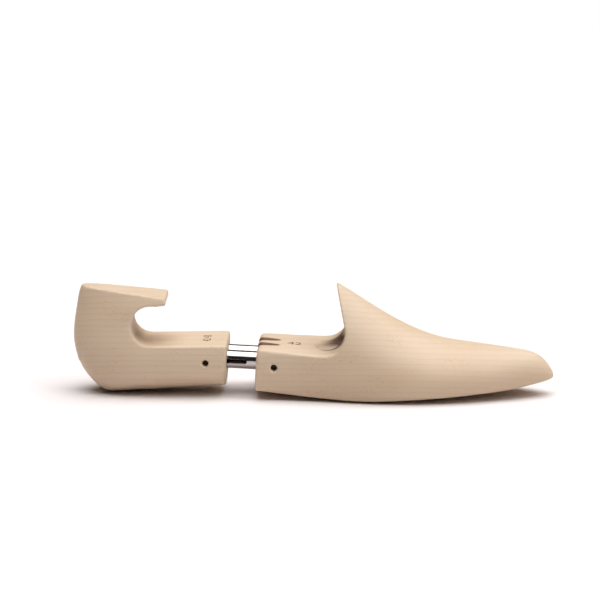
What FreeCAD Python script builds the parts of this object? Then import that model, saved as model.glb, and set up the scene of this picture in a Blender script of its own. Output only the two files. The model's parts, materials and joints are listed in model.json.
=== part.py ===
"""Two-part lasted shoe tree of the twin-tube kind.

A heel block slides on two steel tubes that are pinned into a forepart, and a spring behind
each tube pushes the two blocks apart.  X runs from the back of the heel to the toe, Z up from
the floor that the soles touch; sizes are millimetres.  The tubes run down towards the toe by
tube_pitch, so every piece on them is made along its own axis and placed at that pitch.
"""
import FreeCAD, Part
import math
import os
import Sketcher
from FreeCAD import Placement, Rotation, Vector

PARTS_FOLDER = "parts"
SIDES = {"near": -1, "far": 1}

DRIVING_SIZES = [
    ("heel_length", 95.4, "back of the heel to the heel block's front face, at the tubes"),
    ("gap", 18.3, "space between the two blocks with the springs at full reach"),
    ("forepart_length", 182.7, "forepart's rear face, at the tubes, to the tip of the toe"),
    ("ball_lean", 1.5, "how far the ball's outer side stands out past its inner side, halved"),
    ("tube_pitch", 2.5, "degrees the tubes run down towards the toe"),
    ("tube_diameter", 11.1, "outer diameter of a tube"),
    ("tube_wall", 0.8, "wall of a tube"),
    ("tube_spacing", 15.6, "centre distance of the two tubes"),
    ("tube_rise", 21.6, "height of the tube axis midway between the blocks"),
    ("tube_in_heel", 27.4, "length of tube inside the heel block with the springs at full reach"),
    ("tube_in_forepart", 36.3, "length of tube inside the forepart"),
    ("seating_fit", 0.03, "radial clearance of a tube in the forepart's bore"),
    ("running_fit", 0.08, "radial clearance of a tube in the heel block's bore"),
    ("slot_width", 3.2, "width of the slot in each tube"),
    ("slot_travel", 23.4, "distance between the centres of the slot's round ends"),
    ("pin_diameter", 4.0, "diameter of the head of a cross pin"),
    ("pin_tip_diameter", 3.0, "diameter of a cross pin where it passes through a tube"),
    ("pin_recess", 5.0, "depth of a pin's head below the wood"),
    ("pin_reach", 3.6, "distance a pin's tip stops short of the tree's middle plane"),
    ("pin_hole_clearance", 0.1, "radial clearance round a cross pin's head in the wood"),
    ("heel_pin_setback", 12.6, "distance of the heel block's cross pins from its front face"),
    ("forepart_pin_setback", 11.3, "distance of the forepart's cross pins from its rear face"),
    ("spring_wire", 1.1, "wire of a spring"),
    ("spring_diameter", 9.4, "outer diameter of a spring"),
    ("spring_length", 31.0, "length of a spring between its seats, blocks apart"),
    ("spring_coils", 9, "turns of a spring"),
    ("seat_flange", 1.6, "thickness of the flange of a tube's end plug"),
    ("seat_plug", 8.0, "length of an end plug inside its tube"),
    ("seat_nose", 3.0, "length of the nose that centres the spring"),
    ("seat_clearance", 0.1, "radial clearance of an end plug in its tube and of the nose in the spring"),
    ("heel_top", 66.6, "height of the heel block's top rear corner"),
    ("heel_top_slope", 6.6, "degrees the handle's top falls towards its tip"),
    ("handle_tip", 57.8, "station of the handle's tip"),
    ("finger_station", 48.4, "station of the finger hole's round end centre"),
    ("finger_height", 44.0, "height of the finger hole's round end centre"),
    ("finger_radius", 11.8, "radius of the finger hole"),
    ("heel_tread", 27.0, "station where the heel block's sole starts to rise"),
    ("heel_sole_slope", 3.7, "degrees the heel block's sole rises from there"),
    ("underside_width", 24.8, "half-width of the heel block's rounded underside"),
    ("underside_height", 21.0, "height of that rounding"),
    ("heel_neck_slope", 1.5, "degrees the heel block's neck rises towards the tubes"),
    ("handle_step", 0.4, "rise of the handle's underside from the finger hole to its tip"),
    ("neck_height", 31.8, "height of the forepart's neck at its rear face"),
    ("neck_slope", 3.9, "degrees the forepart's neck falls towards the toe"),
    ("tongue_setback", 48.7, "distance of the tongue's peak from the forepart's rear face"),
    ("tongue_height", 69.2, "height of the tongue's peak"),
    ("tongue_lean", 13.3, "degrees the tongue's rear leans back from upright"),
    ("corner_radius", 13.0, "radius between the neck and the tongue's rear"),
    ("scoop_setback", 2.0, "distance of the thumb hollow's centre behind the tongue's peak"),
    ("scoop_height", 38.6, "height of the thumb hollow's centre"),
    ("scoop_radius", 14.6, "radius of the thumb hollow"),
    ("vent_radius", 4.6, "radius of the gouge that cuts the vent grooves"),
    ("vent_depth", 1.5, "depth of a vent groove at the rear face"),
    ("vent_length", 10.0, "length of a vent groove"),
    ("vent_spacing", 13.0, "centre distance of the two vent grooves"),
    ("neck_chamfer", 2.3, "chamfer along the top edge of the forepart's rear face, each way"),
    ("vent_lead", 3.0, "distance the grooves' cutter starts behind the rear face"),
    ("pin_shoulder", 0.3, "clearance between a pin's shoulder and its tube"),
]

# How far every cutting outline runs out past the wood, in width, height and length.
RUN_OUT = 120
LOFT_RUN_OUT = 15

# A section's outline: share of the half-width at the sole's edge, of the pole that swells the
# side, and share of the height where that pole lies.
SOLE_WIDTH = 0.93
SIDE_SWELL = 1.22
SWELL_HEIGHT = 0.44

# Shares of the heel block's length where the waist's and the widest part's poles lie.
WAIST_SHARE = 0.63
WIDEST_SHARE = 0.23

# How far along each side of a quarter ellipse its spline's inner poles lie.
QUARTER_BOW = 0.5523

# Forepart sections: share of the forepart's length from its rear face, half-widths on the near
# and far side, height of the crest, of the sole's edge and of the sole's middle, and how full
# the shoulder is (0 pointed, 1 square).
FOREPART_SECTIONS = [
    ("rear", -0.0312, 26.0, 26.0, 58, 6.4, 4.4, 0.34),
    ("neck", 0.0892, 27.0, 27.0, 68, 4.4, 2.4, 0.34),
    ("waist", 0.1932, 29.0, 29.4, 74.5, 2.7, 1.1, 0.36),
    ("instep", 0.2863, 31.6, 32.4, 67.3, 1.7, 0.3, 0.38),
    ("vamp", 0.3903, 34.2, 35.6, 55.0, 1.6, 0.0, 0.42),
    ("ball", 0.4997, 35.0, 38.0, 43.1, 2.6, 0.1, 0.5),
    ("joint", 0.6092, 33.0, 36.2, 35.0, 3.7, 0.9, 0.56),
    ("box", 0.7187, 28.4, 31.2, 31.6, 4.9, 2.5, 0.62),
    ("toe", 0.8117, 22.4, 24.2, 29.6, 6.0, 4.3, 0.64),
    ("cap", 0.8829, 16.8, 17.8, 28.0, 7.3, 6.0, 0.66),
    ("welt", 0.9376, 11.8, 12.3, 25.6, 8.8, 7.7, 0.66),
    ("lip", 0.9732, 7.8, 8.0, 20.8, 9.8, 9.1, 0.66),
    ("edge", 0.9934, 4.0, 4.0, 15.4, 10.7, 10.3, 0.66),
    ("tip", 1.0, 1.2, 1.2, 12.4, 11.1, 11.0, 0.66),
]

# Heel sections: height, station of the back, fullness of the back, half-width at the widest
# part of the heel, at the waist and at the front.
HEEL_SECTIONS = [
    ("seat", 0.0, 21.6, 9.5, 14.5, 15.5, 16.0),
    ("tread", 3.4, 15.8, 11.5, 18.8, 18.6, 19.2),
    ("swell", 10.5, 8.9, 12.5, 22.4, 21.6, 22.0),
    ("girth", 21.0, 3.1, 12.5, 24.2, 23.6, 24.0),
    ("hip", 33.0, 0.4, 11.0, 22.2, 20.0, 21.6),
    ("collar", 45.0, 0.9, 8.6, 18.4, 17.0, 19.0),
    ("nape", 57.0, 2.8, 6.6, 14.2, 15.2, 18.0),
    ("crown", 69.0, 7.2, 5.0, 10.8, 13.4, 17.0),
]

HEEL_FACE = "sizes.heel_length"
FOREPART_FACE = "(sizes.heel_length + sizes.gap)"
TOE = "(sizes.heel_length + sizes.gap + sizes.forepart_length)"
HEEL_PIN = "(sizes.heel_length - sizes.heel_pin_setback)"
FOREPART_PIN = f"({FOREPART_FACE} + sizes.forepart_pin_setback)"
TUBE_BACK = "(sizes.heel_length - sizes.tube_in_heel)"
TUBE_LENGTH = "((sizes.tube_in_heel + sizes.gap + sizes.tube_in_forepart) / cos(sizes.tube_pitch))"
TONGUE = f"({FOREPART_FACE} + sizes.tongue_setback)"
NECK_SIDE = "(sizes.rear_near + sizes.neck_near) / 2"

doc = FreeCAD.newDocument("shoe_tree")
sheet = doc.addObject("Spreadsheet::Sheet", "sizes")
sub_parts = []


def fill_sheet():
    """Write every driving dimension into the sheet as plain text with its alias."""
    rows = list(DRIVING_SIZES)
    for name, share, near, far, crest, edge, middle, shoulder in FOREPART_SECTIONS:
        rows.append((name + "_share", share, "share of the forepart's length"))
        rows.append((name + "_near", near, "half-width on the near side"))
        rows.append((name + "_far", far, "half-width on the far side"))
        rows.append((name + "_crest", crest, "height of the crest"))
        rows.append((name + "_sole_edge", edge, "height of the sole's edge"))
        rows.append((name + "_sole_middle", middle, "height of the sole's middle"))
        rows.append((name + "_shoulder", shoulder, "fullness of the shoulder"))
    for name, height, back, fullness, widest, waist, front in HEEL_SECTIONS:
        rows.append((name + "_height", height, "heel section"))
        rows.append((name + "_back", back, "station of the back"))
        rows.append((name + "_fullness", fullness, "half-width of the round back"))
        rows.append((name + "_widest", widest, "half-width at the widest part"))
        rows.append((name + "_narrow", waist, "half-width at the waist"))
        rows.append((name + "_front", front, "half-width at the front"))
    for row, (alias, value, note) in enumerate(rows, start=1):
        sheet.set(f"A{row}", alias)
        sheet.set(f"B{row}", str(value))
        sheet.set(f"C{row}", note)
        sheet.setAlias(f"B{row}", alias)
    doc.recompute()


def size(alias):
    """The value that the sheet holds for an alias."""
    return float(getattr(sheet, alias))


def new_body(label):
    """An empty body whose label is the node's name."""
    body = doc.addObject("PartDesign::Body", label)
    body.Label = label
    sub_parts.append(body)
    return body


def new_sketch(body, name, role, offset=(0, 0, 0), turn=None):
    """A sketch on one of the body's origin planes, shifted and turned by expressions."""
    sketch = body.newObject("Sketcher::SketchObject", name)
    plane = next(item for item in body.Origin.OriginFeatures if item.Role == role)
    sketch.AttachmentSupport = [(plane, "")]
    sketch.MapMode = "FlatFace"
    turned = Rotation(Vector(*turn[0]), 1.0) if turn else Rotation()
    sketch.AttachmentOffset = Placement(Vector(0, 0, 0), turned)
    for key, value in zip("xyz", offset):
        sketch.setExpression(f".AttachmentOffset.Base.{key}", str(value))
    if turn:
        sketch.setExpression(".AttachmentOffset.Rotation.Angle", turn[1])
    return sketch


def fix_point(sketch, geometry, point, across, up):
    """Hold one point of a sketch at two expressions, measured from the sketch's origin."""
    for kind, text in (("DistanceX", across), ("DistanceY", up)):
        value = sketch.evalExpression(str(text))
        value = float(getattr(value, "Value", value))
        index = sketch.addConstraint(Sketcher.Constraint(kind, -1, 1, geometry, point, value))
        sketch.setExpression(f"Constraints[{index}]", str(text))


def read(sketch, text):
    """The number that an expression gives now."""
    value = sketch.evalExpression(str(text))
    return float(getattr(value, "Value", value))


def add_spline(sketch, poles, repeats, degree=3, free_ends=False):
    """A B-spline whose poles are held at pairs of expressions; free ends are left to be joined."""
    points = [Vector(read(sketch, a), read(sketch, b), 0) for a, b in poles]
    curve = Part.BSplineCurve()
    curve.buildFromPolesMultsKnots(points, repeats, list(range(len(repeats))), False, degree)
    index = sketch.addGeometry(curve, False)
    for number, (across, up) in enumerate(poles):
        if free_ends and number in (0, len(poles) - 1):
            continue
        mark = sketch.addGeometry(Part.Circle(points[number], Vector(0, 0, 1), 1.0), True)
        kind = "InternalAlignment:Sketcher::BSplineControlPoint"
        sketch.addConstraint(Sketcher.Constraint(kind, mark, 3, index, number))
        fix_point(sketch, mark, 3, across, up)
    return index


def add_outline(sketch, corners):
    """A closed outline of straight lines through corners given as pairs of expressions."""
    points = [Vector(read(sketch, a), read(sketch, b), 0) for a, b in corners]
    lines = []
    for start, end in zip(points, points[1:] + points[:1]):
        lines.append(sketch.addGeometry(Part.LineSegment(start, end), False))
    for line, following in zip(lines, lines[1:] + lines[:1]):
        sketch.addConstraint(Sketcher.Constraint("Coincident", line, 2, following, 1))
    for line, (across, up) in zip(lines, corners):
        fix_point(sketch, line, 1, across, up)
    return lines


def add_circle(sketch, across, up, radius):
    """A circle whose centre and radius follow expressions."""
    centre = Vector(read(sketch, across), read(sketch, up), 0)
    circle = Part.Circle(centre, Vector(0, 0, 1), read(sketch, radius))
    index = sketch.addGeometry(circle, False)
    fix_point(sketch, index, 3, across, up)
    held = sketch.addConstraint(Sketcher.Constraint("Radius", index, circle.Radius))
    sketch.setExpression(f"Constraints[{held}]", str(radius))
    return index


def cut(body, sketch, name, length, reversed_=False, both=False):
    """A pocket from a sketch, checked to take wood away."""
    before = body.Shape.Volume
    pocket = body.newObject("PartDesign::Pocket", name)
    pocket.Profile = sketch
    pocket.Type = 0
    pocket.setExpression("Length", str(length))
    pocket.Reversed = reversed_
    pocket.SideType = "Symmetric" if both else "One side"
    doc.recompute()
    if not body.Shape.Volume < before - 1e-6:
        raise RuntimeError(f"{name} cuts nothing")
    return pocket


def axis_height(station):
    """Expression for the height of the tube axis at a station."""
    from_middle = f"({station} - sizes.heel_length - sizes.gap / 2)"
    return f"sizes.tube_rise - {from_middle} * tan(sizes.tube_pitch)"


def across_tubes(body, name, station):
    """A sketch square to the tubes whose origin is midway between their axes."""
    turn = ((1, 0, 0), "sizes.tube_pitch * 1 deg")
    return new_sketch(body, name, "YZ_Plane", (0, axis_height(station), station), turn)


def trim_face(body, name, station, towards_toe):
    """Cut a block off square to the tubes at a station."""
    sketch = across_tubes(body, name + "_outline", station)
    corners = [(-1, -1), (1, -1), (1, 1), (-1, 1)]
    add_outline(sketch, [(across * RUN_OUT, up * RUN_OUT) for across, up in corners])
    cut(body, sketch, name, RUN_OUT, reversed_=towards_toe)


def bore_for_tubes(body, name, station, depth, towards_toe, clearance):
    """Two blind bores that take the tubes."""
    sketch = across_tubes(body, name + "_circles", station)
    for side in SIDES.values():
        radius = f"sizes.tube_diameter / 2 + {clearance}"
        add_circle(sketch, f"{side} * sizes.tube_spacing / 2", "0", radius)
    cut(body, sketch, name, depth, reversed_=towards_toe)


def drill_pin_holes(body, station):
    """A hole from each side of a block into the bore beside it."""
    for name, side in SIDES.items():
        shift = f"{-side} * sizes.tube_spacing / 2"
        sketch = new_sketch(body, f"pin_hole_{name}_circle", "XZ_Plane", (0, 0, shift))
        radius = "sizes.pin_diameter / 2 + sizes.pin_hole_clearance"
        add_circle(sketch, station, axis_height(station), radius)
        cut(body, sketch, f"pin_hole_{name}", RUN_OUT, reversed_=side < 0)


def loft(body, name, sketches):
    """A solid through a row of section sketches."""
    solid = body.newObject("PartDesign::AdditiveLoft", name)
    solid.Profile = sketches[0]
    solid.Sections = sketches[1:]
    doc.recompute()
    return solid


def forepart_section(body, name):
    """One upright section: a domed top of two arches over a shallow sole."""
    station = f"{FOREPART_FACE} + sizes.{name}_share * sizes.forepart_length"
    sketch = new_sketch(body, name + "_section", "YZ_Plane", (0, 0, station))
    domed = f"(sizes.{name}_crest - sizes.{name}_sole_edge)"
    rise = f"(sizes.{name}_sole_edge + {SWELL_HEIGHT} * {domed})"
    near = f"-sizes.{name}_near"
    far = f"sizes.{name}_far"
    crest = f"sizes.{name}_crest"
    edge = f"sizes.{name}_sole_edge"
    top = [
        (f"{SOLE_WIDTH} * {near}", edge),
        (f"{SIDE_SWELL} * {near}", rise),
        (f"{near} * sizes.{name}_shoulder", crest),
        (f"{far} * sizes.{name}_shoulder", crest),
        (f"{SIDE_SWELL} * {far}", rise),
        (f"{SOLE_WIDTH} * {far}", edge),
    ]
    sole = [top[-1], (f"({far} + {near}) / 2", f"2 * sizes.{name}_sole_middle - {edge}"), top[0]]
    upper = add_spline(sketch, top, [4, 2, 4])
    lower = add_spline(sketch, sole, [3, 3], degree=2, free_ends=True)
    sketch.addConstraint(Sketcher.Constraint("Coincident", upper, 2, lower, 1))
    sketch.addConstraint(Sketcher.Constraint("Coincident", lower, 2, upper, 1))
    return sketch


def cut_tongue(body):
    """Clear the wood above the neck, leaving the tongue with its leaning rear face."""
    sketch = new_sketch(body, "neck_profile", "XZ_Plane")
    back = f"({FOREPART_FACE} - {LOFT_RUN_OUT})"
    back_height = f"sizes.neck_height + {LOFT_RUN_OUT} * tan(sizes.neck_slope)"
    peak = (TONGUE, "sizes.tongue_height")
    above = f"sizes.tongue_height + {RUN_OUT}"
    radius = size("corner_radius")
    corner = Vector(read(sketch, TONGUE), read(sketch, "sizes.neck_height"), 0)
    start = Vector(read(sketch, back), read(sketch, back_height), 0)
    top = Vector(read(sketch, peak[0]), read(sketch, peak[1]), 0)
    bend_start = corner + Vector(-radius, 0, 0)
    bend_end = corner + Vector(0, radius, 0)
    neck = sketch.addGeometry(Part.LineSegment(start, bend_start), False)
    middle = corner + Vector(-radius, radius, 0) * (1 - math.sin(math.pi / 4))
    bend = sketch.addGeometry(Part.Arc(bend_start, middle, bend_end), False)
    rear = sketch.addGeometry(Part.LineSegment(bend_end, top), False)
    high = read(sketch, above)
    over = Vector(top.x, high, 0)
    over_back = Vector(start.x, high, 0)
    up = sketch.addGeometry(Part.LineSegment(top, over), False)
    along = sketch.addGeometry(Part.LineSegment(over, over_back), False)
    down = sketch.addGeometry(Part.LineSegment(over_back, start), False)
    for first, second in ((rear, up), (up, along), (along, down), (down, neck)):
        sketch.addConstraint(Sketcher.Constraint("Coincident", first, 2, second, 1))
    sketch.addConstraint(Sketcher.Constraint("Tangent", neck, 2, bend, 1))
    sketch.addConstraint(Sketcher.Constraint("Tangent", bend, 2, rear, 1))
    fix_point(sketch, neck, 1, back, back_height)
    fix_point(sketch, rear, 2, *peak)
    fix_point(sketch, along, 1, peak[0], above)
    fix_point(sketch, along, 2, back, above)
    held = sketch.addConstraint(Sketcher.Constraint("Radius", bend, radius))
    sketch.setExpression(f"Constraints[{held}]", "sizes.corner_radius")
    fall = math.radians(-size("neck_slope"))
    held = sketch.addConstraint(Sketcher.Constraint("Angle", neck, fall))
    sketch.setExpression(f"Constraints[{held}]", "-sizes.neck_slope * 1 deg")
    lean = math.radians(90 + size("tongue_lean"))
    held = sketch.addConstraint(Sketcher.Constraint("Angle", rear, lean))
    sketch.setExpression(f"Constraints[{held}]", "(90 + sizes.tongue_lean) * 1 deg")
    cut(body, sketch, "neck_cut", RUN_OUT, both=True)


def cut_scoop(body):
    """A round thumb hollow where the neck meets the tongue."""
    offset = (f"{TONGUE} - sizes.scoop_setback", "sizes.scoop_height", 0)
    sketch = new_sketch(body, "scoop_half", "XZ_Plane", offset)
    radius = size("scoop_radius")
    circle = Part.Circle(Vector(0, 0, 0), Vector(0, 0, 1), radius)
    bow = sketch.addGeometry(Part.ArcOfCircle(circle, -math.pi / 2, math.pi / 2), False)
    chord = sketch.addGeometry(Part.LineSegment(Vector(0, radius, 0), Vector(0, -radius, 0)), False)
    sketch.addConstraint(Sketcher.Constraint("Coincident", bow, 2, chord, 1))
    sketch.addConstraint(Sketcher.Constraint("Coincident", chord, 2, bow, 1))
    sketch.addConstraint(Sketcher.Constraint("Coincident", bow, 3, -1, 1))
    sketch.addConstraint(Sketcher.Constraint("PointOnObject", bow, 1, -2))
    held = sketch.addConstraint(Sketcher.Constraint("Radius", bow, radius))
    sketch.setExpression(f"Constraints[{held}]", "sizes.scoop_radius")
    before = body.Shape.Volume
    groove = body.newObject("PartDesign::Groove", "scoop")
    groove.Profile = sketch
    groove.ReferenceAxis = (sketch, ["V_Axis"])
    groove.Angle = 360.0
    doc.recompute()
    if not body.Shape.Volume < before - 1e-6:
        raise RuntimeError("scoop cuts nothing")


def cut_neck_chamfer(body):
    """Chamfer the top edge of the rear face."""
    sketch = new_sketch(body, "neck_chamfer_profile", "XZ_Plane")
    low = "(sizes.neck_height - sizes.neck_chamfer)"
    reach = f"(sizes.neck_chamfer + {LOFT_RUN_OUT})"
    back = f"({FOREPART_FACE} - {LOFT_RUN_OUT})"
    corners = [
        (back, f"{low} - {LOFT_RUN_OUT}"),
        (f"({FOREPART_FACE} + {reach})", f"({low} + {reach})"),
        (back, f"({low} + {reach})"),
    ]
    add_outline(sketch, corners)
    cut(body, sketch, "neck_chamfer", RUN_OUT, both=True)


def cut_vents(body):
    """Two gouged grooves that run out of the neck's top and follow its chamfer to the rear face."""
    fall = "(sizes.neck_slope * 1 deg - asin(sizes.vent_depth / sizes.vent_length))"
    centre = "sizes.neck_height + sizes.vent_radius - sizes.vent_depth"
    start_height = f"{centre} + sizes.vent_lead * tan({fall})"
    start = f"{FOREPART_FACE} - sizes.vent_lead"
    gouge(body, "vents", (0, start_height, start), fall, "2 * sizes.vent_length + sizes.vent_lead")
    stand_off = "(sizes.vent_radius - sizes.vent_depth)"
    low = f"sizes.neck_height - sizes.neck_chamfer + ({stand_off} - sizes.vent_lead) / sqrt(2)"
    back = f"{FOREPART_FACE} - ({stand_off} + sizes.vent_lead) / sqrt(2)"
    reach = "sizes.vent_lead + sizes.neck_chamfer * sqrt(2)"
    gouge(body, "vent_ends", (0, low, back), "-45 deg", reach)


def gouge(body, name, offset, tilt, length):
    """Cut one round groove on each side of the middle, along a tilted line."""
    sketch = new_sketch(body, name + "_circles", "YZ_Plane", offset, ((1, 0, 0), tilt))
    for side in SIDES.values():
        add_circle(sketch, f"{side} * sizes.vent_spacing / 2", "0", "sizes.vent_radius")
    cut(body, sketch, name, length, reversed_=True)


def make_forepart():
    """The solid front block with its neck, tongue, hollow, vents, bores and pin holes."""
    body = new_body("forepart")
    names = [row[0] for row in FOREPART_SECTIONS]
    loft(body, "last", [forepart_section(body, name) for name in names])
    cut_tongue(body)
    trim_face(body, "rear_face", FOREPART_FACE, towards_toe=False)
    cut_scoop(body)
    cut_neck_chamfer(body)
    cut_vents(body)
    depth = "sizes.tube_in_forepart / cos(sizes.tube_pitch)"
    bore_for_tubes(body, "tube_bores", FOREPART_FACE, depth, True, "sizes.seating_fit")
    drill_pin_holes(body, FOREPART_PIN)
    return body


def heel_section(body, name):
    """One level section: a round back that widens and runs on to the front."""
    sketch = new_sketch(body, name + "_section", "XY_Plane", (0, 0, f"sizes.{name}_height"))
    back = f"sizes.{name}_back"
    half = [
        (f"(sizes.heel_length + {LOFT_RUN_OUT})", f"sizes.{name}_front"),
        (f"(sizes.heel_length * {WAIST_SHARE})", f"sizes.{name}_narrow"),
        (f"({back} + sizes.heel_length * {WIDEST_SHARE})", f"sizes.{name}_widest"),
        (back, f"sizes.{name}_fullness"),
    ]
    poles = [(along, f"-{across}") for along, across in half] + [(back, "0")] + half[::-1]
    outline = add_spline(sketch, poles, [4, 1, 1, 1, 1, 1, 4])
    ends = [Vector(read(sketch, a), read(sketch, b), 0) for a, b in (poles[-1], poles[0])]
    closing = sketch.addGeometry(Part.LineSegment(*ends), False)
    sketch.addConstraint(Sketcher.Constraint("Coincident", outline, 2, closing, 1))
    sketch.addConstraint(Sketcher.Constraint("Coincident", closing, 2, outline, 1))
    return sketch


def cut_handle_top(body):
    """Plane the handle's top, which falls towards its tip."""
    sketch = new_sketch(body, "handle_top_outline", "XZ_Plane")
    ends = (f"(-{LOFT_RUN_OUT})", f"(sizes.heel_length + {LOFT_RUN_OUT})")
    plane = "(sizes.heel_top - ({0} - sizes.crown_back) * tan(sizes.heel_top_slope))"
    above = f"(sizes.heel_top + {RUN_OUT})"
    corners = [(ends[0], plane.format(ends[0])), (ends[1], plane.format(ends[1]))]
    add_outline(sketch, corners + [(ends[1], above), (ends[0], above)])
    cut(body, sketch, "handle_top", RUN_OUT, both=True)


def cut_finger_hole(body):
    """Open the finger hole behind the handle and clear the wood above the neck."""
    sketch = new_sketch(body, "finger_hole_profile", "XZ_Plane")
    low = "sizes.finger_height - sizes.finger_radius"
    high = "sizes.finger_height + sizes.finger_radius"
    above = f"(sizes.heel_top + {RUN_OUT})"
    front = f"(sizes.heel_length + {LOFT_RUN_OUT})"
    run = f"({front} - sizes.finger_station)"
    corners = [
        ("sizes.finger_station", low),
        (front, f"{low} + {run} * tan(sizes.heel_neck_slope)"),
        (front, above),
        ("sizes.handle_tip", above),
        ("sizes.handle_tip", f"{high} + sizes.handle_step"),
        ("sizes.finger_station", high),
    ]
    points = [Vector(read(sketch, a), read(sketch, b), 0) for a, b in corners]
    lines = []
    for start, end in zip(points, points[1:]):
        lines.append(sketch.addGeometry(Part.LineSegment(start, end), False))
    left = Vector(size("finger_station") - size("finger_radius"), size("finger_height"), 0)
    round_end = sketch.addGeometry(Part.Arc(points[-1], left, points[0]), False)
    lines.append(round_end)
    for first, second in zip(lines, lines[1:] + lines[:1]):
        sketch.addConstraint(Sketcher.Constraint("Coincident", first, 2, second, 1))
    for line, (across, up) in zip(lines, corners):
        if line == round_end:
            continue
        fix_point(sketch, line, 1, across, up)
    fix_point(sketch, round_end, 3, "sizes.finger_station", "sizes.finger_height")
    sketch.addConstraint(Sketcher.Constraint("Vertical", round_end, 1, round_end, 3))
    cut(body, sketch, "finger_hole", RUN_OUT, both=True)


def cut_underside(body):
    """Round the underside across to half an ellipse, along a line that rises from the tread."""
    turn = ((1, 0, 0), "-sizes.heel_sole_slope * 1 deg")
    sketch = new_sketch(body, "underside_profile", "YZ_Plane", (0, 0, "sizes.heel_tread"), turn)
    wide = "sizes.underside_width"
    high = "sizes.underside_height"
    half = [
        (wide, high),
        (wide, f"{high} * (1 - {QUARTER_BOW})"),
        (f"{wide} * {QUARTER_BOW}", "0"),
    ]
    poles = [(f"-{across}", up) for across, up in half] + [("0", "0")] + half[::-1]
    bow = add_spline(sketch, poles, [4, 3, 4])
    corners = [
        (f"{wide} + {RUN_OUT}", high),
        (f"{wide} + {RUN_OUT}", -RUN_OUT),
        (f"-({wide} + {RUN_OUT})", -RUN_OUT),
        (f"-({wide} + {RUN_OUT})", high),
    ]
    path = [poles[-1], *corners, poles[0]]
    points = [Vector(read(sketch, a), read(sketch, b), 0) for a, b in path]
    lines = []
    for start, end in zip(points, points[1:]):
        lines.append(sketch.addGeometry(Part.LineSegment(start, end), False))
    loop = [bow, *lines]
    for first, second in zip(loop, loop[1:] + loop[:1]):
        sketch.addConstraint(Sketcher.Constraint("Coincident", first, 2, second, 1))
    for line, corner in zip(lines, corners):
        fix_point(sketch, line, 2, *corner)
    cut(body, sketch, "underside", 2 * RUN_OUT, both=True)


def make_heel_block():
    """The heel block with its handle, finger hole, neck, bores and pin holes."""
    body = new_body("heel_block")
    names = [row[0] for row in HEEL_SECTIONS]
    loft(body, "heel", [heel_section(body, name) for name in names])
    cut_handle_top(body)
    cut_finger_hole(body)
    cut_underside(body)
    trim_face(body, "front_face", HEEL_FACE, towards_toe=True)
    depth = "sizes.tube_in_heel / cos(sizes.tube_pitch) + sizes.seat_flange + sizes.spring_length"
    bore_for_tubes(body, "tube_bores", HEEL_FACE, depth, False, "sizes.running_fit")
    drill_pin_holes(body, HEEL_PIN)
    return body


def place(body, station, across="0", pitched=True):
    """Stand a piece on the tube axis at a station, in the tree's frame."""
    body.setExpression(".Placement.Base.x", f"{station} - {TOE} / 2")
    body.setExpression(".Placement.Base.y", f"{across} - sizes.ball_lean")
    if pitched:
        body.setExpression(".Placement.Base.z", axis_height(station))
        body.Placement = Placement(Vector(0, 0, 0), Rotation(Vector(0, 1, 0), 1.0))
        body.setExpression(".Placement.Rotation.Angle", "sizes.tube_pitch * 1 deg")


def pad(body, sketch, name, length, both=False):
    """A pad from a sketch, along its normal."""
    solid = body.newObject("PartDesign::Pad", name)
    solid.Profile = sketch
    solid.setExpression("Length", str(length))
    solid.SideType = "Symmetric" if both else "One side"
    doc.recompute()
    return solid


def make_tube(name, side):
    """A steel tube with a slot on its outer side and a hole for the forepart's pin."""
    body = new_body(f"tube_{name}")
    ring = new_sketch(body, f"{name}_ring", "YZ_Plane")
    add_circle(ring, "0", "0", "sizes.tube_diameter / 2")
    add_circle(ring, "0", "0", "sizes.tube_diameter / 2 - sizes.tube_wall")
    pad(body, ring, f"{name}_tube", TUBE_LENGTH)
    slot = new_sketch(body, f"{name}_slot_outline", "XZ_Plane")
    pitch = "cos(sizes.tube_pitch)"
    first = f"(({HEEL_PIN} - {TUBE_BACK}) / {pitch})"
    last = f"({first} + sizes.slot_travel)"
    add_round_slot(slot, first, last, "sizes.slot_width / 2")
    cut(body, slot, f"{name}_slot", "sizes.tube_diameter", reversed_=side < 0)
    hole = new_sketch(body, f"{name}_pin_circle", "XZ_Plane")
    along = f"({FOREPART_PIN} - {TUBE_BACK}) / {pitch}"
    add_circle(hole, along, "0", "sizes.slot_width / 2")
    cut(body, hole, f"{name}_pin_hole", "sizes.tube_diameter", reversed_=side < 0)
    place(body, TUBE_BACK, f"{side} * sizes.tube_spacing / 2")


def add_round_slot(sketch, first, last, radius):
    """A round-ended slot along the sketch's own axis between two centres."""
    start = read(sketch, first)
    end = read(sketch, last)
    bow = read(sketch, radius)
    normal = Vector(0, 0, 1)
    right_circle = Part.Circle(Vector(end, 0, 0), normal, bow)
    left_circle = Part.Circle(Vector(start, 0, 0), normal, bow)
    right = sketch.addGeometry(Part.ArcOfCircle(right_circle, -math.pi / 2, math.pi / 2), False)
    top = sketch.addGeometry(Part.LineSegment(Vector(end, bow, 0), Vector(start, bow, 0)), False)
    left = sketch.addGeometry(Part.ArcOfCircle(left_circle, math.pi / 2, 3 * math.pi / 2), False)
    low = sketch.addGeometry(Part.LineSegment(Vector(start, -bow, 0), Vector(end, -bow, 0)), False)
    for one, two in ((right, top), (top, left), (left, low), (low, right)):
        sketch.addConstraint(Sketcher.Constraint("Tangent", one, 2, two, 1))
    fix_point(sketch, right, 3, last, "0")
    fix_point(sketch, left, 3, first, "0")
    held = sketch.addConstraint(Sketcher.Constraint("Radius", right, bow))
    sketch.setExpression(f"Constraints[{held}]", radius)


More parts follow.
